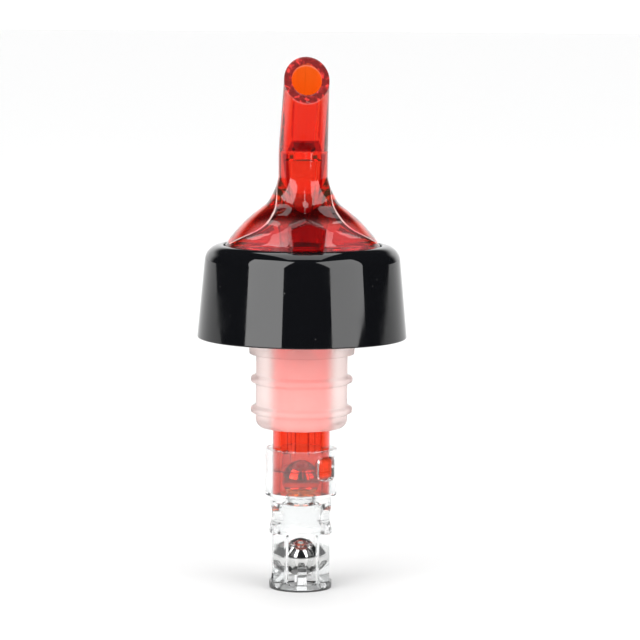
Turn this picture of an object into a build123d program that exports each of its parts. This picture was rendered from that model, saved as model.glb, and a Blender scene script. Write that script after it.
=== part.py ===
from math import cos, radians, sin, sqrt
import os

from build123d import *

# A ball-metered bottle pourer, in millimetres. Heights run up the pourer's axis from the underside
# of the cork's lip, where the bottle's mouth stops. The spout leans to the front, which is -Y.

# The steel balls, and the room round them.
ball_radius = 3.97
ball_clearance = 0.33
seat_gap = 0.1
chamber_radius = ball_radius + ball_clearance

# The valve seats: a round hole with a 45 degree mouth, just wider than where the ball touches it.
seat_margin = 0.03
seat_chamfer = 0.5
seat_mouth_radius = (ball_radius + seat_gap) / sqrt(2) + seat_margin
seat_hole_radius = seat_mouth_radius - seat_chamfer

# The tube that runs down through the collar and the cork.
tube_wall = 1.6
tube_radius = chamber_radius + tube_wall
tube_bottom = -28.9
fit_gap = 0.05

# The cork, with its lip, its two sealing fins and its rounded foot.
cork_radius = 9.45
cork_bottom = -15.4
cork_foot_radius = 1.8
lip_height = 4.2
lip_step = 1.35
lip_flare = 0.45
fin_reach = 1.05
fin_land = 1.0
fin_flank = 0.45
fin_heights = [-5.3, -11.6]

# The collar: a hollow shell with a hub round the tube, and a recess on top for the flange.
collar_bottom = 3.4
collar_top = 22.5
collar_rim = 3.5
collar_shoulder = 3.4
collar_flare = 1.8
collar_wall = 1.8
collar_web = 2.0
collar_hub_wall = 2.3
collar_inner_fillet = 1.5
recess_depth = 1.7
recess_gap = 0.4

# The spout's flange and bell, from the recess floor up to the neck.
flange_radius = 15.9
flange_sink = 0.15
bell_height = 14.2
bell_wall = 1.6
neck_radius = 5.05
bell_tube_radius = 5.0
neck_length = 5.25

# The spout above the neck: it leans forward and its mouth is cut at a slant.
spout_lean = 30.0
spout_length = 16.9
mouth_slant = 59.7
mouth_radius = 4.58
mouth_wall = 1.5

# The bore through the spout.
spout_bore_step = 0.3
throat_radius = 2.3
throat_height = 2.0
upper_chamber_top = 13.0

# The key block at the front of the flange, with a gabled top.
key_half_width = 3.1
key_eaves_half_width = 3.6
key_overhang = 0.9
key_back = 6.0
key_eaves_height = 4.6
key_ridge_height = 6.0

# The air path: a hole at the back of the bell, and a groove down the back of the tube.
vent_hole_radius = 0.8
vent_hole_rise = 1.9
vent_groove_width = 1.2
vent_groove_depth = 0.7
vent_groove_overrun = 2.0

# The seat that is pressed into the tube between the middle ball and the upper ball.
insert_bottom = -8.0
insert_height = 2.8

# The cage: a ring on the tube's end, a ported section with a seat, and four posts round the ball.
ring_wall = 1.45
ring_top = -19.75
ring_overlap = 0.4
seat_plate = 2.3
cage_wall = 2.05
cage_step = 0.15
cage_top = -36.5
cage_bottom = -48.9
lower_ball_rest = -42.6
port_width = 5.2
port_height = 4.2
window_width = 5.8
window_top_margin = 0.8
foot_ring_height = 1.3
finger_width = 1.9
finger_wall = 1.3
finger_toe = 0.4

# The two lugs on the tube that snap into the cage's ring.
lug_width = 4.4
lug_height = 4.6
lug_top = -21.1
lug_reach = 1.1
lug_ramp = 0.7
lug_clearance = 0.2
lug_angles = [-45, 135]

# A ball rests on a 45 degree seat where the seat's slope is one ball radius from its centre.
seat_rise = (ball_radius + seat_gap) * sqrt(2)
seat_offset = seat_rise - seat_mouth_radius
middle_ball_rest = tube_bottom + seat_offset
upper_ball_rest = insert_bottom + insert_height + seat_offset

# Sizes and places that follow from the ones above.
lip_under_radius = cork_radius + lip_step
lip_top_radius = lip_under_radius + lip_flare
collar_top_radius = flange_radius + recess_gap + collar_rim
collar_bottom_radius = collar_top_radius + collar_flare
flange_height = collar_top - flange_sink
bell_top = flange_height + bell_height
neck_top = bell_top + neck_length
spout_bore_radius = seat_mouth_radius - spout_bore_step
key_front = flange_radius + key_overhang
ported_radius = chamber_radius + cage_wall
cage_radius = ported_radius + cage_step
finger_radius = chamber_radius + finger_wall
recess_floor = collar_top - recess_depth
web_underside = recess_floor - collar_web
hub_radius = tube_radius + fit_gap + collar_hub_wall
ring_inner_radius = tube_radius + fit_gap
ring_outer_radius = ring_inner_radius + ring_wall
plate_underside = tube_bottom - seat_plate
floor_top = lower_ball_rest - seat_rise + chamber_radius
finger_tip = floor_top - (chamber_radius - seat_hole_radius)
fin_radius = cork_radius + fin_reach

# The bell's outline, as shares of its reach from the neck to the flange and of its height.
bell_outline = [(0.115, 0.747), (0.370, 0.520), (0.730, 0.270), (0.880, 0.137)]

# The front panel, from the flange up: height, half width, and its depth at the edges and middle,
# the height as a share of the bell's height and the rest as shares of the flange's radius.
front_panel = [
    (-0.12, 0.994, 0.05, 1.02),
    (0.004, 0.994, 0.10, 1.003),
    (0.123, 0.849, 0.368, 0.730),
    (0.215, 0.698, 0.501, 0.597),
    (0.363, 0.497, 0.543, 0.472),
    (0.504, 0.403, 0.424, 0.396),
    (0.602, 0.365, 0.300, 0.352),
    (0.725, 0.352, 0.201, 0.333),
    (0.842, 0.346, 0.078, 0.324),
    (1.05, 0.343, 0.03, 0.340),
]
block_reach = 25.0

neck_plane = Plane(origin=(0, 0, neck_top), x_dir=(0, -1, 0), z_dir=(0, 0, 1))
mouth_plane = Plane(
    origin=(
        0,
        -spout_length * sin(radians(spout_lean)),
        neck_top + spout_length * cos(radians(spout_lean)),
    ),
    x_dir=(0, -cos(radians(mouth_slant)), -sin(radians(mouth_slant))),
    z_dir=(0, -sin(radians(mouth_slant)), cos(radians(mouth_slant))),
)
mouth_stretch = 1 / cos(radians(mouth_slant - spout_lean))


def radial_plane(angle):
    """An upright plane through the axis, with its x pointing outward at an angle from +X."""
    return Plane(
        origin=(0, 0, 0),
        x_dir=(cos(radians(angle)), sin(radians(angle)), 0),
        z_dir=(sin(radians(angle)), -cos(radians(angle)), 0),
    )


def behind_front_panel(inset):
    """Everything behind the front panel, set back by an inset."""
    with BuildPart() as block:
        for rise, width_share, edge_share, middle_share in front_panel:
            half_width = width_share * flange_radius
            edge = inset - edge_share * flange_radius
            middle = inset - middle_share * flange_radius
            with BuildSketch(Plane.XY.offset(flange_height + rise * bell_height)):
                with BuildLine():
                    ThreePointArc((-half_width, edge), (0, middle), (half_width, edge))
                    Polyline(
                        (half_width, edge),
                        (block_reach, edge),
                        (block_reach, block_reach),
                        (-block_reach, block_reach),
                        (-block_reach, edge),
                        (-half_width, edge),
                    )
                make_face()
        loft(ruled=True)
    return block.part


def bell_curve(inset):
    """The bell's outline from the neck down to the flange, moved in by an inset."""
    span = flange_radius - neck_radius
    return (
        [(neck_radius - inset, bell_top)]
        + [
            (neck_radius + out * span - inset, flange_height + up * bell_height)
            for out, up in bell_outline
        ]
        + [(flange_radius - inset, flange_height)]
    )


# The hollow inside the bell, open at the bottom, with the tube standing in the middle.
with BuildPart() as bell_hollow:
    with BuildSketch(Plane.XZ):
        with BuildLine():
            inner_curve = Spline(*bell_curve(bell_wall)[1:])
            Polyline(
                inner_curve @ 1,
                (flange_radius - bell_wall, recess_floor),
                (bell_tube_radius, recess_floor),
                (bell_tube_radius, (inner_curve @ 0).Y),
                inner_curve @ 0,
            )
        make_face()
    revolve(axis=Axis.Z)
    add(behind_front_panel(bell_wall), mode=Mode.INTERSECT)

with BuildPart() as spout_body:
    # The flange and bell in one turn, with the front panel cut into them and the inside hollow.
    with BuildSketch(Plane.XZ):
        with BuildLine():
            outer_curve = Spline(*bell_curve(0))
            Polyline(
                outer_curve @ 1,
                (flange_radius, recess_floor),
                (0, recess_floor),
                (0, bell_top),
                outer_curve @ 0,
            )
        make_face()
    revolve(axis=Axis.Z)
    add(behind_front_panel(0), mode=Mode.INTERSECT)
    add(bell_hollow.part, mode=Mode.SUBTRACT)

    # The key block stands on the flange and its gabled top runs back into the front panel.
    with BuildSketch(Plane.XZ.offset(key_back)):
        with BuildLine():
            Polyline(
                (-key_half_width, collar_top + fit_gap),
                (key_half_width, collar_top + fit_gap),
                (key_eaves_half_width, flange_height + key_eaves_height),
                (0, flange_height + key_ridge_height),
                (-key_eaves_half_width, flange_height + key_eaves_height),
                close=True,
            )
        make_face()
    extrude(amount=key_front - key_back)

    # The neck, and the leaning spout from it to the slanted mouth.
    with BuildSketch(Plane.XY.offset(bell_top)):
        Circle(neck_radius)
    extrude(amount=neck_length)
    with BuildSketch(neck_plane):
        Circle(neck_radius)
    with BuildSketch(mouth_plane):
        Ellipse(mouth_radius * mouth_stretch, mouth_radius)
    loft()

    # The tube below the flange.
    with BuildSketch(Plane.XY.offset(tube_bottom)):
        Circle(tube_radius)
    extrude(amount=recess_floor - tube_bottom)

    # The bore: the balls' chamber, a cone that stops the upper ball, the spout's bore and its throat.
    with BuildSketch(Plane.XZ):
        with BuildLine():
            Polyline(
                (0, tube_bottom),
                (chamber_radius, tube_bottom),
                (chamber_radius, upper_chamber_top),
                (spout_bore_radius, upper_chamber_top + chamber_radius - spout_bore_radius),
                (spout_bore_radius, neck_top - throat_height),
                (throat_radius, neck_top),
                (0, neck_top),
                close=True,
            )
        make_face()
    revolve(axis=Axis.Z, mode=Mode.SUBTRACT)
    with BuildSketch(neck_plane):
        Circle(throat_radius)
    with BuildSketch(mouth_plane):
        Ellipse((mouth_radius - mouth_wall) * mouth_stretch, mouth_radius - mouth_wall)
    loft(mode=Mode.SUBTRACT)

    # The snap lugs, with a ramp at the bottom that springs the ring over them.
    for lug_angle in lug_angles:
        with BuildSketch(radial_plane(lug_angle).offset(-lug_width / 2)):
            with BuildLine():
                Polyline(
                    (tube_radius - tube_wall / 2, lug_top),
                    (tube_radius + lug_reach, lug_top),
                    (tube_radius + lug_reach, lug_top - lug_height + lug_ramp),
                    (tube_radius + lug_reach - lug_ramp, lug_top - lug_height),
                    (tube_radius - tube_wall / 2, lug_top - lug_height),
                    close=True,
                )
            make_face()
        extrude(amount=lug_width)

    # The air path.
    with BuildSketch(Plane.XZ.offset(-bell_tube_radius - bell_wall)):
        with Locations((0, flange_height + vent_hole_rise)):
            Circle(vent_hole_radius)
    extrude(amount=-flange_radius, mode=Mode.SUBTRACT)
    groove_bottom = cork_bottom - vent_groove_overrun
    with BuildSketch(Plane.XY.offset(groove_bottom)):
        with Locations((0, tube_radius)):
            Rectangle(vent_groove_width, 2 * vent_groove_depth)
    extrude(amount=recess_floor - groove_bottom, mode=Mode.SUBTRACT)

spout_body.part.label = "spout_body"

with BuildPart() as collar:
    with BuildSketch(Plane.XZ):
        with BuildLine():
            Polyline(
                (tube_radius + fit_gap, lip_height),
                (hub_radius, lip_height),
                (hub_radius, web_underside),
                (collar_top_radius - collar_wall, web_underside),
                (collar_bottom_radius - collar_wall, collar_bottom),
                (collar_bottom_radius, collar_bottom),
                (collar_top_radius, collar_top),
                (flange_radius + recess_gap, collar_top),
                (flange_radius + recess_gap, recess_floor),
                (tube_radius + fit_gap, recess_floor),
                close=True,
            )
        make_face()
    revolve(axis=Axis.Z)
    shoulder_edge = collar.edges().filter_by(GeomType.CIRCLE).group_by(Axis.Z)[-1].sort_by(SortBy.RADIUS)[-1]
    fillet(shoulder_edge, radius=collar_shoulder)
    web_edges = collar.edges().filter_by(GeomType.CIRCLE).filter_by_position(
        Axis.Z, web_underside - fit_gap, web_underside + fit_gap
    )
    fillet(web_edges, radius=collar_inner_fillet)

collar.part.label = "collar"

with BuildPart() as cork:
    with BuildSketch(Plane.XZ):
        with BuildLine():
            Polyline(
                (tube_radius, cork_bottom),
                (tube_radius, lip_height),
                (lip_top_radius, lip_height),
                (lip_under_radius, 0),
                (cork_radius, 0),
                (cork_radius, cork_bottom),
                close=True,
            )
        make_face()
    revolve(axis=Axis.Z)
    fillet(cork.edges().group_by(Axis.Z)[0].sort_by(SortBy.RADIUS)[-1], radius=cork_foot_radius)
    for fin_height in fin_heights:
        with BuildSketch(Plane.XZ):
            with BuildLine():
                Polyline(
                    (tube_radius, fin_height - fin_land / 2 - fin_flank),
                    (cork_radius, fin_height - fin_land / 2 - fin_flank),
                    (fin_radius, fin_height - fin_land / 2),
                    (fin_radius, fin_height + fin_land / 2),
                    (cork_radius, fin_height + fin_land / 2 + fin_flank),
                    (tube_radius, fin_height + fin_land / 2 + fin_flank),
                    close=True,
                )
            make_face()
        revolve(axis=Axis.Z)

cork.part.label = "cork"

with BuildPart() as ball_cage:
    with BuildSketch(Plane.XZ):
        with BuildLine():
            Polyline(
                (ring_inner_radius, ring_top),
                (ring_outer_radius, ring_top),
                (ring_outer_radius, tube_bottom - ring_overlap),
                (ported_radius, tube_bottom - ring_overlap),
                (ported_radius, cage_top),
                (cage_radius, cage_top),
                (cage_radius, cage_bottom),
                (chamber_radius, cage_bottom),
                (chamber_radius, plate_underside),
                (seat_mouth_radius, plate_underside),
                (seat_hole_radius, plate_underside + seat_chamfer),
                (seat_hole_radius, tube_bottom - seat_chamfer),
                (seat_mouth_radius, tube_bottom),
                (ring_inner_radius, tube_bottom),
                close=True,
            )
        make_face()
    revolve(axis=Axis.Z)

    # Two large ports at the sides, level with the ball when it is on its seat.
    port_centre = plate_underside - (plate_underside - cage_top) / 2
    with BuildSketch(Plane.YZ.offset(-cage_radius)):
        with Locations((0, port_centre)):
            Ellipse(port_width / 2, port_height / 2)
    extrude(amount=2 * cage_radius, mode=Mode.SUBTRACT)

    # Four windows leave four posts, with the foot ring whole below them.
    window_bottom = cage_bottom + foot_ring_height
    window_height = cage_top - window_top_margin - window_bottom
    for window_plane in (Plane.XZ, Plane.YZ):
        with BuildSketch(window_plane.offset(-cage_radius)):
            with Locations((0, window_bottom + window_height / 2)):
                Rectangle(window_width, window_height)
        extrude(amount=2 * cage_radius, mode=Mode.SUBTRACT)

    # Four snap fingers rise from the foot ring, and the lower ball rests on their slopes.
    for finger_angle in (0, 90, 180, 270):
        with BuildSketch(radial_plane(finger_angle).offset(-finger_width / 2)):
            with BuildLine():
                Polyline(
                    (chamber_radius, floor_top),
                    (seat_hole_radius, finger_tip),
                    (seat_hole_radius, finger_tip - finger_toe),
                    (chamber_radius - finger_toe, cage_bottom),
                    (finger_radius, cage_bottom),
                    (finger_radius, floor_top),
                    close=True,
                )
            make_face()
        extrude(amount=finger_width)

    # The windows in the ring that the lugs snap into.
    for lug_angle in lug_angles:
        slot_plane = Plane(
            origin=(0, 0, lug_top - lug_height / 2),
            x_dir=(-sin(radians(lug_angle)), cos(radians(lug_angle)), 0),
            z_dir=(cos(radians(lug_angle)), sin(radians(lug_angle)), 0),
        )
        with BuildSketch(slot_plane.offset(tube_radius / 2)):
            Rectangle(lug_width + 2 * lug_clearance, lug_height + 2 * lug_clearance)
        extrude(amount=ring_outer_radius, mode=Mode.SUBTRACT)

ball_cage.part.label = "ball_cage"

with BuildPart() as seat_insert:
    insert_top = insert_bottom + insert_height
    with BuildSketch(Plane.XZ):
        with BuildLine():
            Polyline(
                (seat_mouth_radius, insert_bottom),
                (chamber_radius, insert_bottom),
                (chamber_radius, insert_top),
                (seat_mouth_radius, insert_top),
                (seat_hole_radius, insert_top - seat_chamfer),
                (seat_hole_radius, insert_bottom + seat_chamfer),
                close=True,
            )
        make_face()
    revolve(axis=Axis.Z)

seat_insert.part.label = "seat_insert"


def ball(rest_height, name):
    """One steel ball at its rest height."""
    with BuildPart() as steel_ball:
        with Locations((0, 0, rest_height)):
            Sphere(ball_radius)
    steel_ball.part.label = name
    return steel_ball.part


pieces = [
    spout_body.part,
    collar.part,
    cork.part,
    ball_cage.part,
    seat_insert.part,
    ball(lower_ball_rest, "lower_ball"),
    ball(middle_ball_rest, "middle_ball"),
    ball(upper_ball_rest, "upper_ball"),
]

os.makedirs("parts", exist_ok=True)
for piece in pieces:
    export_step(piece, "parts/" + piece.label + ".step")
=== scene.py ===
from math import atan, atan2, cos, hypot, pi, radians, sin, sqrt, tan

import bmesh
import bpy
from mathutils import Matrix, Quaternion, Vector


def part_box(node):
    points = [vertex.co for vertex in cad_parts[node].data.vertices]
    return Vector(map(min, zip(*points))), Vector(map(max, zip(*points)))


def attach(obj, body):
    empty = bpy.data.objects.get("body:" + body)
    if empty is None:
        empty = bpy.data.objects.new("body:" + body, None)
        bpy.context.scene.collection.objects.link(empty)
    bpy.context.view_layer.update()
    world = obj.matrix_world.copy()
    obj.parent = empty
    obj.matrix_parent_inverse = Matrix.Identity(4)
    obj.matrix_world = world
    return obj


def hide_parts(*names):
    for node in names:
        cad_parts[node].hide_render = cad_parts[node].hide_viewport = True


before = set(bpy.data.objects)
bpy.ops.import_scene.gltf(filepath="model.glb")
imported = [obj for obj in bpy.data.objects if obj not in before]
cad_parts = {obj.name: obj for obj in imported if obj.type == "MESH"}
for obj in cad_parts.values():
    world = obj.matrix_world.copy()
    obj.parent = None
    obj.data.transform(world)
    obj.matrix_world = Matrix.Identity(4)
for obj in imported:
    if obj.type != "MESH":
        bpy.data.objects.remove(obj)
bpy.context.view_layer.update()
mm = 0.001


# The spout: one clear red moulding, with the leaning spout, the flared foot that sits in the collar
# and the tube that runs down through the cork. It is moulded in two halves that meet along the front.
collar_low, collar_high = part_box("collar")
tube_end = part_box("spout_body")[0].z
tube_radius = 5.9 * mm
chamber_radius = 4.3 * mm
chamber_top = 13 * mm
flange_radius = 15.9 * mm
flange_level = collar_high.z - 0.15 * mm
recess_floor = collar_high.z - 1.7 * mm
rim_lift = 0.05 * mm
bell_wall = 1.6 * mm
bell_tube_radius = 5.0 * mm
bell_rise = 14.2
bell_top = flange_level + bell_rise * mm
neck_radius = 5.05 * mm
kink_level = bell_top + 5.25 * mm
throat_radius = 2.3 * mm
throat_step = 0.1 * mm
spout_bore_radius = 2.6 * mm
spout_length = 16.9 * mm
spout_lean = radians(30)
mouth_slant = radians(59.7)
mouth_radius = 4.58 * mm
mouth_wall = 1.5 * mm
mouth_inset = 0.4 * mm
seam_height = 0.07 * mm
seam_reach = 0.11 * mm
parting_level = -24.0 * mm
round_panel_share = 0.997
widest_panel_share = 0.9995
front_shares = [0.93, 0.85, 0.76, 0.67, 0.58, 0.49, 0.4, 0.31, 0.22, 0.13]
back_steps = 24
hollow_steps = 16
rise_steps = 284

# The bell's outline and the front panel, in mm from the flange up: the bell's radius, then the
# panel's half width and the depth of its middle, below and above its crease.
bell_radii = [(0, 15.9), (1.95, 14.6), (3.85, 12.95), (5.55, 11.3), (7.35, 9.07), (8.7, 7.4)]
bell_radii += [(10.55, 6.3), (12.15, 5.55), (14.2, 5.05)]
panel_widths = [(0, 15.8), (0.3, 15.6), (1.78, 13.5), (3.03, 11.1), (3.71, 9.8), (5.13, 7.9)]
panel_widths += [(7.17, 6.4), (8.5, 5.85), (10.3, 5.6), (11.96, 5.45), (14.2, 5.03)]
lower_panel = [(0, 15.9), (0.8, 13.4), (1.78, 11.6), (3.03, 9.6), (5.13, 7.55), (7.17, 6.3), (8.5, 5.62)]
upper_panel = [(8.5, 5.62), (9.4, 5.33), (10.4, 5.12), (11.4, 5.05), (14.2, 5.05)]
crease = 8.5


def along(points, x):
    """The value at x on a smooth curve through the points."""
    last = len(points) - 2
    i = min(max(k for k in range(last + 1) if k == 0 or points[k][0] <= x), last)
    (x0, y0), (x1, y1) = points[i], points[i + 1]
    before = points[max(i - 1, 0)]
    after = points[min(i + 2, last + 1)]
    start = (y1 - before[1]) / (x1 - before[0])
    finish = (after[1] - y0) / (after[0] - x0)
    span = x1 - x0
    t = (x - x0) / span
    return (
        y0 * (1 + 2 * t) * (1 - t) ** 2
        + start * span * t * (1 - t) ** 2
        + y1 * t * t * (3 - 2 * t)
        + finish * span * t * t * (t - 1)
    )


def ring(height, radius, half_width=None, middle=None):
    """One ring of the spout: the front panel from ridge to ridge, then the round back."""
    half_width = min(half_width or radius * round_panel_share, radius * widest_panel_share)
    middle = middle or radius
    edge = sqrt(radius**2 - half_width**2)
    turn = 2 * atan((middle - edge) / half_width)
    bend = half_width / sin(turn)
    shares = [1.0, *front_shares, seam_reach / half_width]
    right = [Vector((bend * sin(turn * t), -middle + bend * (1 - cos(turn * t)), height)) for t in shares]
    start = atan2(-edge, half_width)
    stop = pi / 2 - seam_reach / radius
    angles = [start + (stop - start) * step / back_steps for step in range(1, back_steps + 1)]
    back = [Vector((radius * cos(angle), radius * sin(angle), height)) for angle in angles]
    side = right[::-1] + back
    other = [Vector((-point.x, point.y, height)) for point in side[::-1]]
    return [Vector((0, -middle, height)), *side, Vector((0, radius, height)), *other]


def bell_ring(rise):
    """The bell's ring at a rise above the flange, in mm."""
    panel = lower_panel if rise <= crease else upper_panel
    return ring(
        flange_level + rise * mm,
        along(bell_radii, rise) * mm,
        along(panel_widths, rise) * mm,
        along(panel, rise) * mm,
    )


mouth_centre = Vector((0, -spout_length * sin(spout_lean), kink_level + spout_length * cos(spout_lean)))
mouth_normal = Vector((0, -sin(mouth_slant), cos(mouth_slant)))
mouth_slope = Vector((0, cos(mouth_slant), sin(mouth_slant)))


def leaning_ring(share, neck, mouth):
    """A ring of the leaning spout, from a round neck to the slanted mouth."""
    slope = mouth_slope / cos(mouth_slant - spout_lean)
    points = []
    for point in ring(kink_level, neck):
        at_mouth = mouth_centre + (Vector((point.x, 0, 0)) + slope * point.y) * mouth / neck
        points.append(point.lerp(at_mouth, share))
    return points


def hollow_rings():
    """The inside of the bell, from where it leaves the tube down to the recess floor."""
    rises = [bell_rise * step / rise_steps for step in range(rise_steps + 1)]
    outer = [bell_ring(rise) for rise in rises]
    columns = []
    for points in zip(*outer):
        clear_of_tube = [hypot(point.x, point.y) > bell_tube_radius + bell_wall for point in points]
        top = max(rise for rise, is_clear in zip(rises, clear_of_tube) if is_clear)
        down = []
        for step in range(hollow_steps):
            rise = top * (1 - step / (hollow_steps - 1))
            point = points[round(rise / bell_rise * rise_steps)]
            shrink = 1 - bell_wall / hypot(point.x, point.y)
            down.append(Vector((point.x * shrink, point.y * shrink, flange_level + rise * mm)))
        columns.append(down)
    return [list(level) for level in zip(*columns)]


hollow = hollow_rings()
tube_tops = [
    Vector((point.x, point.y, 0)).normalized() * bell_tube_radius + Vector((0, 0, point.z)) for point in hollow[0]
]
# The rings of the skin, up the outside of the tube, round the bell's hollow and its outside, up to
# the mouth, and back down the bore to the tube's end.
parting_levels = [parting_level + offset for offset in (-seam_reach, 0, seam_reach)]
rings = [ring(level, tube_radius) for level in (tube_end, *parting_levels, recess_floor - 0.3 * mm)]
rings += [ring(recess_floor, bell_tube_radius), tube_tops]
rings += hollow
rings += [ring(recess_floor + rim_lift, radius) for radius in (flange_radius - bell_wall, flange_radius)]
rings += [bell_ring(rise) for rise in (0, 0.3, 0.6, 0.9, 1.3, 1.8, 2.4, 3.0, 3.6, 4.3, 5.0, 5.8, 6.6, 7.3, 8.0)]
rings += [bell_ring(rise) for rise in (crease, 9.0, 9.6, 10.3, 11.1, 11.9, 12.7, 13.5, bell_rise)]
rings += [ring(kink_level - 0.3 * mm, neck_radius)]
rings += [leaning_ring(share, neck_radius, mouth_radius) for share in (0, 0.02, 0.34, 0.66, 0.96, 1)]
bore_at_mouth = mouth_radius - mouth_wall
rings += [leaning_ring(1, throat_radius, mouth_radius - mouth_inset)]
rings += [leaning_ring(1, throat_radius, bore_at_mouth + mouth_inset)]
rings += [leaning_ring(share, throat_radius, bore_at_mouth) for share in (1, 0.96, 0.55, 0.1)]
rings += [leaning_ring(share, throat_radius - 2 * throat_step, bore_at_mouth) for share in (0.07, 0)]
rings += [ring(kink_level - 1.6 * mm, throat_radius - throat_step)]
rings += [ring(kink_level - 2 * mm, spout_bore_radius)]
rings += [ring(chamber_top + chamber_radius - spout_bore_radius, spout_bore_radius)]
rings += [ring(chamber_top, chamber_radius), ring(tube_end, chamber_radius)]


def fresh_start():
    """Nothing selected, so that the next operators act on the new piece alone."""
    if bpy.context.object and bpy.context.object.mode != "OBJECT":
        bpy.ops.object.mode_set(mode="OBJECT")
    bpy.ops.object.select_all(action="DESELECT")


def close_up(piece):
    """Merges the seam of a finished skin and turns its faces outward."""
    bpy.ops.mesh.select_all(action="SELECT")
    bpy.ops.mesh.remove_doubles(threshold=0.004 * mm)
    bpy.ops.mesh.normals_make_consistent(inside=False)
    bpy.ops.object.mode_set(mode="OBJECT")
    return piece


def finish_with(piece, kind, **settings):
    """Adds a modifier to the piece and applies it."""
    modifier = piece.modifiers.new(kind.title(), kind)
    for key, value in settings.items():
        setattr(modifier, key, value)
    fresh_start()
    bpy.context.view_layer.objects.active = piece
    piece.select_set(True)
    bpy.ops.object.modifier_apply(modifier=modifier.name)
    return piece


def ringed(name, rings):
    """A skin pulled up ring by ring from a circle and closed on itself."""
    fresh_start()
    bpy.ops.mesh.primitive_circle_add(vertices=len(rings[0]), radius=tube_radius)
    piece = bpy.context.object
    piece.name = piece.data.name = name
    bpy.ops.object.mode_set(mode="EDIT")
    skin = bmesh.from_edit_mesh(piece.data)
    for vertex, place in zip(skin.verts, rings[0]):
        vertex.co = place
    for places in rings[1:] + rings[:1]:
        bpy.ops.mesh.extrude_region_move()
        skin = bmesh.from_edit_mesh(piece.data)
        for vertex, place in zip([v for v in skin.verts if v.select], places):
            vertex.co = place
        bmesh.update_edit_mesh(piece.data)
    return close_up(piece)


def prism(name, outline, depth, place=Matrix.Identity(4)):
    """A block drawn as an outline in X and Z, and pulled back along Y by its depth."""
    fresh_start()
    bpy.ops.mesh.primitive_circle_add(vertices=len(outline), radius=mm)
    piece = bpy.context.object
    piece.name = piece.data.name = name
    bpy.ops.object.mode_set(mode="EDIT")
    shape = bmesh.from_edit_mesh(piece.data)
    for vertex, (x, z) in zip(shape.verts, outline):
        vertex.co = (x, 0, z)
    bmesh.update_edit_mesh(piece.data)
    bpy.ops.mesh.edge_face_add()
    bpy.ops.mesh.extrude_region_move(TRANSFORM_OT_translate={"value": (0, depth, 0)})
    close_up(piece)
    piece.data.transform(place)
    return piece


def joined(piece, other, operation="UNION"):
    """Unites the piece with another, or cuts the other out of it, and removes the other."""
    finish_with(piece, "BOOLEAN", operation=operation, object=other, solver="EXACT")
    bpy.data.objects.remove(other)
    return piece


def smooth(piece, degrees=32):
    """Smooth shading that breaks at sharp edges, with the broad faces kept true beside their bevels."""
    fresh_start()
    bpy.context.view_layer.objects.active = piece
    piece.select_set(True)
    bpy.ops.object.shade_smooth_by_angle(angle=radians(degrees))
    finish_with(piece, "WEIGHTED_NORMAL", mode="FACE_AREA", keep_sharp=True)


spout = ringed("pour_spout", rings)
finish_with(spout, "BEVEL", width=0.2 * mm, segments=3, limit_method="ANGLE", angle_limit=radians(38))

# The seam of the two mould halves stands up along the front and back, and a parting groove goes
# round the tube. Both are made after the bevel, which would eat them.
touching = 0.001 * mm
for vertex in spout.data.vertices:
    outward = vertex.co.y + max(vertex.co.z - kink_level, 0) * tan(spout_lean)
    if abs(vertex.co.x) < touching and outward * vertex.normal.y > 0.5 * abs(outward):
        vertex.co += vertex.normal * seam_height
    elif abs(vertex.co.z - parting_level) < touching:
        vertex.co -= vertex.normal * 2 * seam_height

# Painted highlights on the ridges and the mouth's edges, told by how near each point is to them: the ridges all
# along, and the mouth's two edges in patches.
highlight_attribute = spout.data.attributes.new("painted_edge_highlight", "FLOAT", "POINT")
ridge_start = 0.4
ridge_highlight_reach = 0.13 * mm
mouth_depth = 0.15 * mm
mouth_highlight_reach = 0.25 * mm
mouth_highlight_strength = 0.6
for vertex, value in zip(spout.data.vertices, highlight_attribute.data):
    rise = (vertex.co.z - flange_level) / mm
    offset = vertex.co - mouth_centre
    if ridge_start < rise < bell_rise:
        width = along(panel_widths, rise) * mm
        ridge_depth = sqrt(max((along(bell_radii, rise) * mm) ** 2 - width**2, 0))
        away = hypot(abs(vertex.co.x) - width, vertex.co.y + ridge_depth)
        value.value = 1.0 if away < ridge_highlight_reach else 0.0
    elif abs(offset.dot(mouth_normal)) < mouth_depth:
        reach = hypot(offset.x, offset.dot(mouth_slope) * cos(mouth_slant - spout_lean))
        middle = mouth_radius - mouth_wall / 2
        patch = max(sin(3 * atan2(offset.x, offset.z) + (1 if reach > middle else 3)), 0)
        at_edge = abs(reach - middle) > mouth_wall / 2 - mouth_highlight_reach
        value.value = mouth_highlight_strength * patch if at_edge else 0.0

# The key block at the front of the foot, a small gabled block that lies over the collar's rim.
key_half_width = 3.1 * mm
key_eaves = 3.6 * mm
key_eaves_level = flange_level + 4.6 * mm
key_ridge_level = flange_level + 6.0 * mm
key_underside = collar_high.z + 0.06 * mm
key_front = -16.8 * mm
key_depth = 10.8 * mm
key_block = prism(
    "key_block",
    [
        (-key_half_width, key_underside),
        (key_half_width, key_underside),
        (key_eaves, key_eaves_level),
        (0, key_ridge_level),
        (-key_eaves, key_eaves_level),
    ],
    key_depth,
    Matrix.Translation((0, key_front, 0)),
)
finish_with(key_block, "BEVEL", width=0.3 * mm, segments=3, limit_method="ANGLE", angle_limit=radians(20))
joined(spout, key_block)


def rounded_block(name, size, centre, corner, place=Matrix.Identity(4)):
    """A block with all its edges rounded."""
    fresh_start()
    bpy.ops.mesh.primitive_cube_add(size=1)
    block = bpy.context.object
    block.name = name
    block.data.transform(Matrix.Diagonal((*size, 1)))
    finish_with(block, "BEVEL", width=corner, segments=4, limit_method="ANGLE")
    block.data.transform(place @ Matrix.Translation(centre))
    return block


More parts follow.
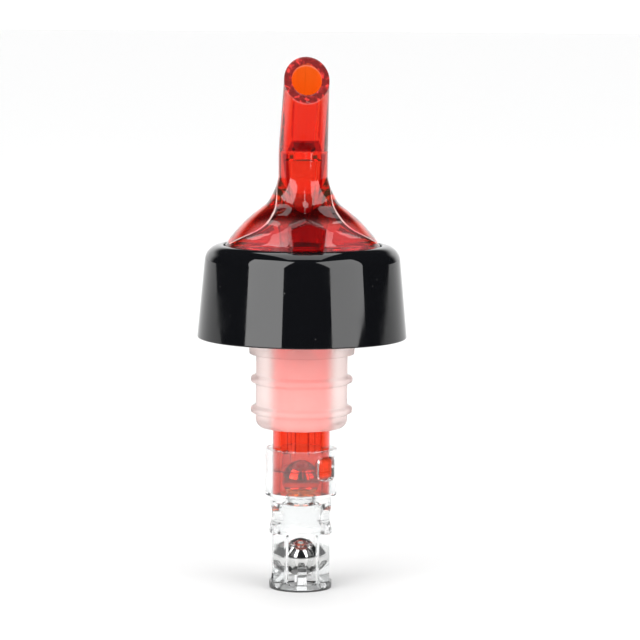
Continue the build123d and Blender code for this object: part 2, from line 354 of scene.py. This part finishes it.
# The two lugs on the tube that the cage snaps over.
lug_angles = (-45, 135)
lug_depth = 2.4 * mm
lug_width = 4.4 * mm
lug_height = 4.6 * mm
lug_centre_level = -23.4 * mm
lug_corner = 1.1 * mm
for lug_angle in lug_angles:
    lug = rounded_block(
        "lug",
        (lug_depth, lug_width, lug_height),
        (tube_radius - 0.1 * mm, 0, lug_centre_level),
        lug_corner,
        Matrix.Rotation(radians(lug_angle), 4, "Z"),
    )
    joined(spout, lug)
smooth(spout)


class Wire:
    """A shader socket that takes arithmetic."""

    def __init__(self, tree, source):
        self.tree = tree
        self.source = source

    def node(self, kind, settings=None, inputs=None, output=0):
        """Adds a node with its settings and inputs, and gives the wire from one of its outputs."""
        made = self.tree.nodes.new(kind)
        for key, value in (settings or {}).items():
            if key == "stops":
                for spot, (position, colour) in zip(made.color_ramp.elements, value):
                    spot.position = position
                    spot.color = colour
            else:
                setattr(made, key, value)
        for key, value in (inputs or {}).items():
            if isinstance(value, Wire):
                self.tree.links.new(value.source, made.inputs[key])
            else:
                made.inputs[key].default_value = value
        return Wire(self.tree, made.outputs[output])

    def maths(self, operation, *values):
        return self.node("ShaderNodeMath", {"operation": operation}, dict(enumerate(values)))

    def __add__(self, other):
        return self.maths("ADD", self, other)

    __radd__ = __add__

    def __mul__(self, other):
        return self.maths("MULTIPLY", self, other)

    __rmul__ = __mul__

    def __sub__(self, other):
        return self.maths("SUBTRACT", self, other)

    def __rsub__(self, other):
        return self.maths("SUBTRACT", other, self)

    def __truediv__(self, other):
        return self.maths("DIVIDE", self, other)

    def __abs__(self):
        return self.maths("ABSOLUTE", self)

    def root(self):
        return self.maths("SQRT", self)

    def noise(self, scale, detail=2.0, roughness=0.5):
        return self.node(
            "ShaderNodeTexNoise", None, {"Vector": self, "Scale": scale, "Detail": detail, "Roughness": roughness}
        )

    def band(self, low, high):
        """Nought below the low value, one above the high value, and smooth between."""
        return self.node(
            "ShaderNodeMapRange",
            {"interpolation_type": "SMOOTHSTEP"},
            {"Value": self, "From Min": low, "From Max": high},
        )

    def stretch(self, start, full, fading, gone):
        """One between the two middle values, and nought outside the outer two."""
        return self.band(start, full) * (1 - self.band(fading, gone))

    def blend(self, first, second):
        """A colour between two, by this wire's value."""
        mix = self.tree.nodes.new("ShaderNodeMix")
        mix.data_type = "RGBA"
        self.tree.links.new(self.source, mix.inputs["Factor"])
        for socket, colour in ((mix.inputs[6], first), (mix.inputs[7], second)):
            if isinstance(colour, Wire):
                self.tree.links.new(colour.source, socket)
            else:
                socket.default_value = (*colour, 1)
        return Wire(self.tree, mix.outputs[2])


def surface(name, **constants):
    """A new material with its plain settings, and the wire of the piece's own coordinates."""
    material = bpy.data.materials.new(name)
    material.use_nodes = True
    shader = material.node_tree.nodes["Principled BSDF"]
    for key, value in constants.items():
        shader.inputs[key.replace("_", " ")].default_value = value
    place = Wire(material.node_tree, None).node("ShaderNodeTexCoord", output="Object")
    return material, shader, place


def feed(shader, **wires):
    for key, wire in wires.items():
        wire.tree.links.new(wire.source, shader.inputs[key.replace("_", " ")])


def bump(wire, strength, distance):
    return wire.node("ShaderNodeBump", None, {"Height": wire, "Strength": strength, "Distance": distance})


def soak(material, colour, density):
    """Colour that deepens with the thickness of a clear plastic."""
    tree = material.node_tree
    depth = tree.nodes.new("ShaderNodeVolumeAbsorption")
    depth.inputs["Color"].default_value = (*colour, 1)
    depth.inputs["Density"].default_value = density
    tree.links.new(depth.outputs["Volume"], tree.nodes["Material Output"].inputs["Volume"])


def dress(piece, material, body, slot, *nodes):
    """Gives a finished piece its material and its body, and hides the CAD nodes that it stands for."""
    piece.data.materials.clear()
    piece.data.materials.append(material)
    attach(piece, body)
    if nodes:
        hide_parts(*nodes)


red_plastic, shader, place = surface("clear red plastic", Transmission_Weight=0.975, IOR=1.53)
across, depth, height = [
    place.node("ShaderNodeSeparateXYZ", None, {"Vector": place}, output=axis) for axis in ("X", "Y", "Z")
]
sideways = abs(across)
radius = (across * across + depth * depth).root()
flow = place.node("ShaderNodeMapping", None, {"Vector": place, "Scale": (1.0, 1.0, 0.25)}).noise(260, 3, 0.6)
handling = place.noise(900, 4, 0.65).band(0.55, 0.75)

# The bell's foot is painted a deeper red, painted shade that stands for the dark collar seen through it; a
# near-black painted shade lies at the crease above its front panel, and the key block is painted a deep red.
foot = height.stretch(21 * mm, 22 * mm, 29 * mm, 35 * mm)
crease_shade = (1 - depth.band(-5 * mm, -3 * mm)) * height.stretch(26.6 * mm, 28.2 * mm, 30.0 * mm, 31.4 * mm)
block = (1 - depth.band(-10.5 * mm, -9 * mm)) * (1 - sideways.band(3.8 * mm, 3.9 * mm))
block = block * (1 - height.band(28 * mm, 28.4 * mm))
tint = flow.blend((1.0, 0.42, 0.22), (1.0, 0.48, 0.26))
tint = foot.blend(tint, (0.80, 0.20, 0.15))
tint = (crease_shade * (1 - block)).blend(tint, (0.2, 0.015, 0.016))

# The leaning spout's bore is a warmer red than its outside.
off_bore = (depth - mouth_centre.y) * cos(spout_lean) + (height - mouth_centre.z) * sin(spout_lean)
off_bore = (across * across + off_bore * off_bore).root()
bore = (1 - off_bore.band(3.1 * mm, 3.3 * mm)) * height.band(kink_level, kink_level + 1.5 * mm)
tint = bore.blend(tint, (1.0, 0.25, 0.12))

# Two streaks that widen up the neck, and the tapered place above the bend where the mould's cores meet, are
# painted dark red: painted shade where the bore's edges and end show dark through the wall.
up_the_neck = height - 31.7 * mm
off_streak = abs(sideways - 2.9 * mm - 0.11 * up_the_neck) - 0.045 * up_the_neck
streak = (1 - off_streak.band(0.05 * mm, 0.3 * mm)) * up_the_neck.band(0, 1.5 * mm)
streak = streak * (1 - height.band(41.0 * mm, 41.6 * mm))
cores_meet = 1 - (sideways + 0.35 * (height - kink_level)).band(3.5 * mm, 3.65 * mm)
cores_meet = cores_meet * height.stretch(kink_level, kink_level + 0.1 * mm, 44.0 * mm, 44.2 * mm)
neck_shade = (1 - depth.band(-3 * mm, -2 * mm)) * (streak + cores_meet)
tint = neck_shade.blend(tint, (0.22, 0.02, 0.03))

# Drawn lines down the front of the tube below the cork, the painted shade in its parting groove, and painted
# shade on both sides of the spout's bore, where its walls show dark.
at_tube = radius.band(tube_radius - 0.3 * mm, tube_radius - 0.1 * mm)
drawn = place.node("ShaderNodeMapping", None, {"Vector": place, "Scale": (1.0, 0.0, 0.0)}).noise(1500, 2, 0.5)
drawn = drawn.band(0.5, 0.62) * at_tube * (1 - depth.band(-4 * mm, -3 * mm))
drawn = drawn * height.stretch(-21 * mm, -20 * mm, -16 * mm, -14 * mm)
tint = (0.9 * drawn).blend(tint, (0.3, 0.02, 0.01))
groove = (1 - abs(height - parting_level).band(0.1 * mm, 0.2 * mm)) * at_tube
tint = (0.9 * groove).blend(tint, (0.05, 0.0, 0.0))
bore_side_shade = (1 - abs(sideways - 2.75 * mm).band(0.1 * mm, 0.35 * mm)) * (1 - depth.band(-5 * mm, -4 * mm))
bore_side_shade = bore_side_shade * height.stretch(44.2 * mm, 45 * mm, 51 * mm, 53 * mm)
tint = bore_side_shade.blend(tint, (0.5, 0.10, 0.08))
feed(
    shader,
    # The key block is painted a deep red inside the foot's painted shade.
    Base_Color=(block * foot).blend(tint, (0.82, 0.05, 0.06)),
    Roughness=0.012 + 0.05 * handling,
    Normal=bump(flow, 0.25, 0.02 * mm),
)
soak(red_plastic, (0.989, 0.69, 0.0), 2100)

# A rough matt layer lies over the clear plastic: a pale painted highlight on the ridges, painted shade of dark
# red with lighter painted glints on the cut rim of the mouth, bright red and matt on the lugs, a thin pale pink
# layer over the painted shade of the foot's front panel, and pink and faintly glowing under the cork, a painted
# glow that stands for the light that the milky plug scatters.
edge_highlights = place.node("ShaderNodeAttribute", {"attribute_name": "painted_edge_highlight"}, output="Fac").band(0.5, 1.0)
edge_highlights = edge_highlights * (0.15 + 0.55 * place.noise(700, 3, 0.6))
off_mouth = (depth - mouth_centre.y) * mouth_normal.y + (height - mouth_centre.z) * mouth_normal.z
rim = 1 - abs(off_mouth).band(0.1 * mm, 0.4 * mm)
lugs = radius.band(tube_radius + 0.1 * mm, tube_radius + 0.3 * mm) * (1 - height.band(-20.5 * mm, -20 * mm))
cork_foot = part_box("cork")[0].z
under_cork = at_tube * height.stretch(cork_foot + 0.1 * mm, cork_foot + 0.9 * mm, 1.5 * mm, 2 * mm)
haze = foot * (1 - height.band(26 * mm, 29 * mm)) * (1 - depth.band(-9 * mm, -6 * mm)) * (1 - block)
rim_shade_and_glints = place.noise(900, 3, 0.6).band(0.5, 0.65).blend((0.13, 0.002, 0.006), (0.55, 0.03, 0.03))
frost_and_painted_light_colour = rim.blend((1.0, 0.72, 0.68), rim_shade_and_glints)
frost_and_painted_light_colour = lugs.blend(frost_and_painted_light_colour, (0.85, 0.07, 0.02))
frost_and_painted_light_colour = under_cork.blend(frost_and_painted_light_colour, (1.0, 0.50, 0.46))
frost_and_painted_light_colour = haze.blend(frost_and_painted_light_colour, (0.95, 0.22, 0.26))
frost_and_painted_light = place.node(
    "ShaderNodeBsdfPrincipled",
    None,
    {
        "Base Color": frost_and_painted_light_colour,
        "Roughness": 0.5,
        "Specular IOR Level": 0.1,
        "Emission Color": under_cork.blend((0.0, 0.0, 0.0), (0.9, 0.13, 0.16)),
        "Emission Strength": 0.72,
    },
)
frost_and_painted_light_share = edge_highlights + 0.55 * rim + 0.35 * lugs + 0.5 * under_cork + 0.1 * haze
skin = place.node("ShaderNodeMixShader", None, {0: frost_and_painted_light_share, 1: Wire(place.tree, shader.outputs[0]), 2: frost_and_painted_light})
place.tree.links.new(skin.source, place.tree.nodes["Material Output"].inputs["Surface"])
dress(spout, red_plastic, "pourer", "tinted_clear_plastic", "spout_body")


# The collar: a glossy black moulded shell, hollow below, with a hub that the tube is pushed through
# and a recess on top that the spout's foot drops into.
collar_wall = 1.8 * mm
collar_bottom_radius = collar_high.x
collar_top_radius = 19.8 * mm
shoulder = 3.4 * mm
hub_inner = 5.95 * mm
hub_outer = 8.25 * mm
hub_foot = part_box("cork")[1].z + 0.03 * mm
web_underside = recess_floor - 2.0 * mm
recess_radius = flange_radius + 0.4 * mm
inner_round = 1.5 * mm


def arc(centre, radius, start, finish, steps):
    """Points on an arc in X and Z, between two angles in degrees."""
    angles = [radians(start + (finish - start) * step / steps) for step in range(steps + 1)]
    return [(centre[0] + radius * cos(angle), centre[1] + radius * sin(angle)) for angle in angles]


def turned(name, outline, steps=144):
    """A piece turned from a closed outline: a point is drawn along it and spun round the axis."""
    fresh_start()
    bpy.ops.mesh.primitive_plane_add(size=mm)
    piece = bpy.context.object
    piece.name = piece.data.name = name
    bpy.ops.object.mode_set(mode="EDIT")
    bpy.ops.mesh.merge(type="CENTER")
    bpy.ops.transform.translate(value=(outline[0][0], 0, outline[0][1]))
    for (x0, z0), (x1, z1) in zip(outline, outline[1:] + outline[:1]):
        bpy.ops.mesh.extrude_region_move(TRANSFORM_OT_translate={"value": (x1 - x0, 0, z1 - z0)})
    bpy.ops.mesh.select_all(action="SELECT")
    bpy.ops.mesh.spin(steps=steps, angle=2 * pi, center=(0, 0, 0), axis=(0, 0, 1))
    return close_up(piece)


taper = atan((collar_bottom_radius - collar_top_radius) / (collar_high.z - collar_low.z))
shoulder_reach = shoulder * tan((pi / 2 - taper) / 2)
shoulder_centre = (collar_top_radius - shoulder_reach, collar_high.z - shoulder)
taper_degrees = taper * 180 / pi
inner_top_radius = collar_top_radius - collar_wall
collar = turned(
    "collar_shell",
    [
        (hub_inner, hub_foot),
        (hub_outer, hub_foot),
        (hub_outer, web_underside - inner_round),
        *arc((hub_outer + inner_round, web_underside - inner_round), inner_round, 170, 90, 6),
        *arc((inner_top_radius - 1.4 * mm, web_underside - inner_round), inner_round, 90, 6, 6),
        (collar_bottom_radius - collar_wall, collar_low.z),
        (collar_bottom_radius, collar_low.z),
        *arc(shoulder_centre, shoulder, taper_degrees, 90, 24),
        (recess_radius, collar_high.z),
        (recess_radius, recess_floor),
        (hub_inner, recess_floor),
    ],
)
finish_with(collar, "BEVEL", width=0.28 * mm, segments=4, limit_method="ANGLE", angle_limit=radians(40))
smooth(collar)

black_plastic, shader, place = surface("black gloss plastic", IOR=1.5)
rubs = place.node("ShaderNodeMapping", None, {"Vector": place, "Scale": (1.0, 1.0, 0.12)}).noise(1400, 5, 0.7)
dust = place.node("ShaderNodeTexVoronoi", {"feature": "F1"}, {"Vector": place, "Scale": 420.0})
specks = 1 - dust.band(0.03, 0.09)
smudge = place.noise(90, 3, 0.6).band(0.42, 0.7)
feed(
    shader,
    Base_Color=(specks * 0.5).blend((0.0022, 0.0024, 0.003), (0.03, 0.03, 0.03)),
    Roughness=0.035 + 0.05 * smudge + 0.05 * rubs.band(0.55, 0.8) + 0.25 * specks,
    Normal=bump(smudge + 0.3 * rubs, 0.12, 0.01 * mm),
)
dress(collar, black_plastic, "pourer", "black_gloss_plastic", "collar")


# The cork: a soft milky plastic plug, stretched over the tube, with a lip that stops on the bottle's
# mouth and two sealing fins that squeeze into its neck.
cork_low, cork_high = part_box("cork")
cork_radius = 9.45 * mm
lip_under = 10.8 * mm
cork_bore = 5.97 * mm
fin_radius = 10.5 * mm
fin_heights = (-11.6 * mm, -5.3 * mm)
fin_land = 0.5 * mm
fin_root = 0.95 * mm
fin_edge = 0.12 * mm
fin_edge_height = 0.15 * mm
foot_round = 1.8 * mm
foot_wave = 0.07 * mm
fin_points = []
for fin_height in fin_heights:
    fin_points += [
        (cork_radius, fin_height - fin_root),
        (fin_radius - fin_edge, fin_height - fin_land),
        (fin_radius, fin_height - fin_land + fin_edge_height),
        (fin_radius, fin_height + fin_land - fin_edge_height),
        (fin_radius - fin_edge, fin_height + fin_land),
        (cork_radius, fin_height + fin_root),
    ]
cork = turned(
    "cork_plug",
    [
        (cork_bore, cork_low.z),
        *arc((cork_radius - foot_round, cork_low.z + foot_round), foot_round, -90, 0, 8),
        *fin_points,
        (cork_radius, 0),
        (lip_under, 0),
        (cork_high.x, cork_high.z),
        (cork_bore, cork_high.z),
    ],
    128,
)
for vertex in cork.data.vertices:
    if vertex.co.z < cork_low.z + 0.05 * mm:
        turn = atan2(vertex.co.y, vertex.co.x)
        vertex.co.z += foot_wave * (2 + sin(9 * turn) + sin(23 * turn + 1))
finish_with(cork, "BEVEL", width=0.14 * mm, segments=2, limit_method="ANGLE", angle_limit=radians(35))
smooth(cork)

milky_plastic, shader, place = surface("milky soft plastic", Transmission_Weight=0.87, IOR=1.18)
grain = place.noise(2600, 4, 0.6)
cloud = place.noise(150, 3, 0.55)
feed(
    shader,
    Base_Color=cloud.blend((0.93, 0.79, 0.76), (0.95, 0.83, 0.80)),
    Roughness=0.40 + 0.1 * grain,
    Normal=bump(grain + 0.5 * cloud, 0.12, 0.02 * mm),
)
dress(cork, milky_plastic, "pourer", "milky_soft_plastic", "cork")


# The ball cage: one water-clear moulding that snaps over the tube's end, with a seat for the balls,
# two ports, four posts on a foot ring and four springy fingers that hold the lower ball in.
cage_low, cage_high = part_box("ball_cage")
lower_ball_low, lower_ball_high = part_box("lower_ball")
ring_inner = 5.97 * mm
ring_outer = cage_high.x
ring_bottom = tube_end - 0.4 * mm
plate_top = tube_end - 0.03 * mm
plate_bottom = tube_end - 2.3 * mm
seat_mouth = 2.91 * mm
seat_hole = 2.41 * mm
seat_chamfer = 0.5 * mm
ported_radius = 6.35 * mm
cage_radius = 6.5 * mm
cage_shoulder = -36.5 * mm
cage = turned(
    "clear_ball_cage",
    [
        (ring_inner, cage_high.z),
        (ring_outer, cage_high.z),
        (ring_outer, ring_bottom),
        (ported_radius, ring_bottom),
        (ported_radius, cage_shoulder),
        (cage_radius, cage_shoulder),
        (cage_radius, cage_low.z),
        (chamber_radius, cage_low.z),
        (chamber_radius, plate_bottom),
        (seat_mouth, plate_bottom),
        (seat_hole, plate_bottom + seat_chamfer),
        (seat_hole, plate_top - seat_chamfer),
        (seat_mouth, plate_top),
        (ring_inner, plate_top),
    ],
    96,
)

window_width = 5.8 * mm
window_bottom = cage_low.z + 1.3 * mm
window_top = cage_shoulder - 0.8 * mm
window_centre = (window_bottom + window_top) / 2
window_height = window_top - window_bottom
for turn in (0, 90):
    window = rounded_block(
        "window",
        (window_width, 4 * cage_radius, window_height),
        (0, 0, window_centre),
        0.4 * mm,
        Matrix.Rotation(radians(turn), 4, "Z"),
    )
    joined(cage, window, "DIFFERENCE")

port_half_width = 2.6 * mm
port_half_height = 2.1 * mm
fresh_start()
bpy.ops.mesh.primitive_cylinder_add(vertices=48, radius=1, depth=1, rotation=(0, pi / 2, 0))
port = bpy.context.object
port.data.transform(port.matrix_world)
port.matrix_world = Matrix.Identity(4)
port.data.transform(Matrix.Diagonal((4 * cage_radius, port_half_width, port_half_height, 1)))
port.data.transform(Matrix.Translation((0, 0, (plate_bottom + cage_shoulder) / 2)))
joined(cage, port, "DIFFERENCE")

slot_play = 0.4 * mm
for lug_angle in lug_angles:
    slot = rounded_block(
        "slot",
        (4 * mm, lug_width + slot_play, lug_height + slot_play),
        (ring_outer, 0, lug_centre_level),
        lug_corner + 0.1 * mm,
        Matrix.Rotation(radians(lug_angle), 4, "Z"),
    )
    joined(cage, slot, "DIFFERENCE")

ball_radius = (lower_ball_high.z - lower_ball_low.z) / 2
ball_rest = (lower_ball_high.z + lower_ball_low.z) / 2
ball_gap = 0.1 * mm
slope_top = ball_rest - (ball_radius + ball_gap) * sqrt(2) + chamber_radius
slope_foot = slope_top - (chamber_radius - seat_hole)
finger_width = 1.9 * mm
finger_wall = 1.3 * mm
finger_toe = 0.4 * mm
for finger_angle in (0, 90, 180, 270):
    finger = prism(
        "finger",
        [
            (chamber_radius, slope_top),
            (seat_hole, slope_foot),
            (seat_hole, slope_foot - finger_toe),
            (chamber_radius - finger_toe, cage_low.z),
            (chamber_radius + finger_wall, cage_low.z),
            (chamber_radius + finger_wall, slope_top),
        ],
        finger_width,
        Matrix.Rotation(radians(finger_angle), 4, "Z") @ Matrix.Translation((0, -finger_width / 2, 0)),
    )
    joined(cage, finger)
finish_with(cage, "BEVEL", width=0.12 * mm, segments=2, limit_method="ANGLE", angle_limit=radians(45))
smooth(cage)

clear_plastic, shader, place = surface("clear plastic", Transmission_Weight=0.96, IOR=1.38)
ripple = place.node("ShaderNodeMapping", None, {"Vector": place, "Scale": (1.0, 1.0, 0.35)}).noise(420, 3, 0.55)
feed(
    shader,
    Base_Color=ripple.blend((0.92, 0.935, 0.935), (0.96, 0.965, 0.965)),
    Roughness=0.015 + 0.06 * place.noise(1200, 4, 0.65).band(0.5, 0.8),
    Normal=bump(ripple, 0.3, 0.03 * mm),
)
dress(cage, clear_plastic, "pourer", "clear_plastic", "ball_cage")


# The seat insert: a short clear ring pressed into the tube between the middle and the upper ball,
# with a coned mouth at each end for a ball to close.
insert_low, insert_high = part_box("seat_insert")
insert_radius = chamber_radius - 0.02 * mm
insert = turned(
    "seat_ring",
    [
        (seat_mouth, insert_low.z),
        (insert_radius, insert_low.z),
        (insert_radius, insert_high.z),
        (seat_mouth, insert_high.z),
        (seat_hole, insert_high.z - seat_chamfer),
        (seat_hole, insert_low.z + seat_chamfer),
    ],
    64,
)
finish_with(insert, "BEVEL", width=0.08 * mm, segments=2, limit_method="ANGLE", angle_limit=radians(30))
smooth(insert)
dress(insert, clear_plastic, "pourer", "clear_plastic", "seat_insert")


# The metering balls: three ground and polished stainless steel balls, free to run in their chambers.
# Each rests on the seat below it, and runs to the one above when the bottle is turned over to pour.
steel, shader, place = surface("polished steel", Metallic=1.0)
scratches = place.node("ShaderNodeMapping", None, {"Vector": place, "Scale": (1.0, 3.0, 0.3)}).noise(2200, 4, 0.7)
feed(
    shader,
    Base_Color=place.noise(300, 2).blend((0.66, 0.66, 0.65), (0.78, 0.78, 0.77)),
    Roughness=0.06 + 0.12 * scratches.band(0.5, 0.75),
    Normal=bump(scratches, 0.08, 0.01 * mm),
)
for node, body in (
    ("lower_ball", "lower_metering_ball"),
    ("middle_ball", "middle_metering_ball"),
    ("upper_ball", "upper_metering_ball"),
):
    low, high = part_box(node)
    fresh_start()
    bpy.ops.mesh.primitive_cube_add(size=2 * ball_radius)
    ball = bpy.context.object
    ball.name = ball.data.name = "steel_" + node
    bpy.ops.object.mode_set(mode="EDIT")
    bpy.ops.mesh.select_all(action="SELECT")
    bpy.ops.mesh.subdivide(number_cuts=21)
    bpy.ops.object.mode_set(mode="OBJECT")
    finish_with(ball, "CAST", cast_type="SPHERE", factor=1.0, size=ball_radius, use_radius_as_size=False)
    ball.data.transform(Matrix.Translation((low + high) / 2))
    smooth(ball, 60)
    dress(ball, steel, body, "polished_steel", node)


# The studio: a pale floor that looks white far off and dark where the pourer's front would mirror it,
# a camera in front, two upright soft boxes and one overhead, and a room that is white behind.
fresh_start()
bpy.ops.mesh.primitive_plane_add(size=60, location=(0, 0, cage_low.z))
floor = bpy.context.object
floor.name = "floor"
floor.data.transform(floor.matrix_world)
floor.matrix_world = Matrix.Identity(4)
floor_paint, shader, place = surface("pale floor", Roughness=0.6, Specular_IOR_Level=0.2)
reach = place.node("ShaderNodeLightPath", output="Ray Length")
mirrored = place.node("ShaderNodeLightPath", output="Glossy Depth").band(0.2, 0.8)
ahead = place.node("ShaderNodeSeparateXYZ", None, {"Vector": place}, output="Y")
mirrored = mirrored * reach.band(0.06, 0.08) * (1 - ahead.band(0.0, 0.1))
away = place.node("ShaderNodeVectorMath", {"operation": "LENGTH"}, {0: place}, output="Value")
paint = away.band(0.0, 1.3).root().blend((0.5, 0.5, 0.5), (0.9, 0.9, 0.9))
feed(shader, Base_Color=mirrored.blend(paint, (0.07, 0.07, 0.07)))
floor.data.materials.append(floor_paint)

target = Vector((3.7 * mm, 0, 6.9 * mm))
camera_distance = 0.55
camera_turn = radians(-4.5)
camera_height = radians(6.4)
camera_roll = radians(0.45)
camera_data = bpy.data.cameras.new("camera")
camera_data.lens = 150
camera_data.sensor_width = 36
camera_data.clip_start = 0.01
camera = bpy.data.objects.new("camera", camera_data)
bpy.context.scene.collection.objects.link(camera)
camera.location = target + camera_distance * Vector(
    (sin(camera_turn) * cos(camera_height), -cos(camera_turn) * cos(camera_height), sin(camera_height))
)
aim = (target - camera.location).to_track_quat("-Z", "Y") @ Quaternion((0, 0, 1), camera_roll)
camera.rotation_euler = aim.to_euler()
bpy.context.scene.camera = camera
bpy.context.scene.view_settings.view_transform = "Standard"

box_distance = 0.6


def soft_box(name, azimuth, lift, width, height, roll, brightness):
    """A rectangular light on a sphere round the pourer, with its sizes as angles."""
    light_data = bpy.data.lights.new(name, "AREA")
    light_data.shape = "RECTANGLE"
    light_data.size = 2 * box_distance * tan(radians(width) / 2)
    light_data.size_y = 2 * box_distance * tan(radians(height) / 2)
    light_data.energy = brightness * pi * light_data.size * light_data.size_y
    light = bpy.data.objects.new(name, light_data)
    bpy.context.scene.collection.objects.link(light)
    lift, azimuth = radians(lift), radians(azimuth)
    light.location = box_distance * Vector((sin(azimuth) * cos(lift), -cos(azimuth) * cos(lift), sin(lift)))
    aim = light.location.to_track_quat("Z", "Y") @ Quaternion((0, 0, 1), radians(roll))
    light.rotation_euler = aim.to_euler()


soft_box("left soft box", -47, 27, 45.5, 51, 0, 4.7)
soft_box("right soft box", 47, 27, 44, 51, 5, 3.7)
soft_box("overhead soft box", 0, 97, 32, 62, 0, 2.4)

world = bpy.data.worlds.new("studio")
bpy.context.scene.world = world
world.use_nodes = True
tree = world.node_tree
start = Wire(tree, None)
direction = start.node("ShaderNodeTexCoord", output="Generated")
parts = [direction.node("ShaderNodeSeparateXYZ", None, {"Vector": direction}, output=k) for k in range(3)]
level = (parts[0] * parts[0] + parts[1] * parts[1]).root()
backward = parts[1] / level
behind = backward.band(0.66, 0.86) * (1 - parts[2].band(0.25, 0.45))
around = backward.band(-0.85, -0.55)
reflected = start.node("ShaderNodeLightPath", output="Is Glossy Ray")
through = start.node("ShaderNodeLightPath", output="Is Transmission Ray")
dark = reflected * (1 - behind) + 0.2 * through * (1 - around)
room = dark.blend((1.2, 1.2, 1.2), (0.02, 0.02, 0.022))
tree.links.new(room.source, tree.nodes["Background"].inputs["Color"])

cycles = bpy.context.scene.cycles
cycles.max_bounces = 32
cycles.glossy_bounces = 24
cycles.transmission_bounces = 32
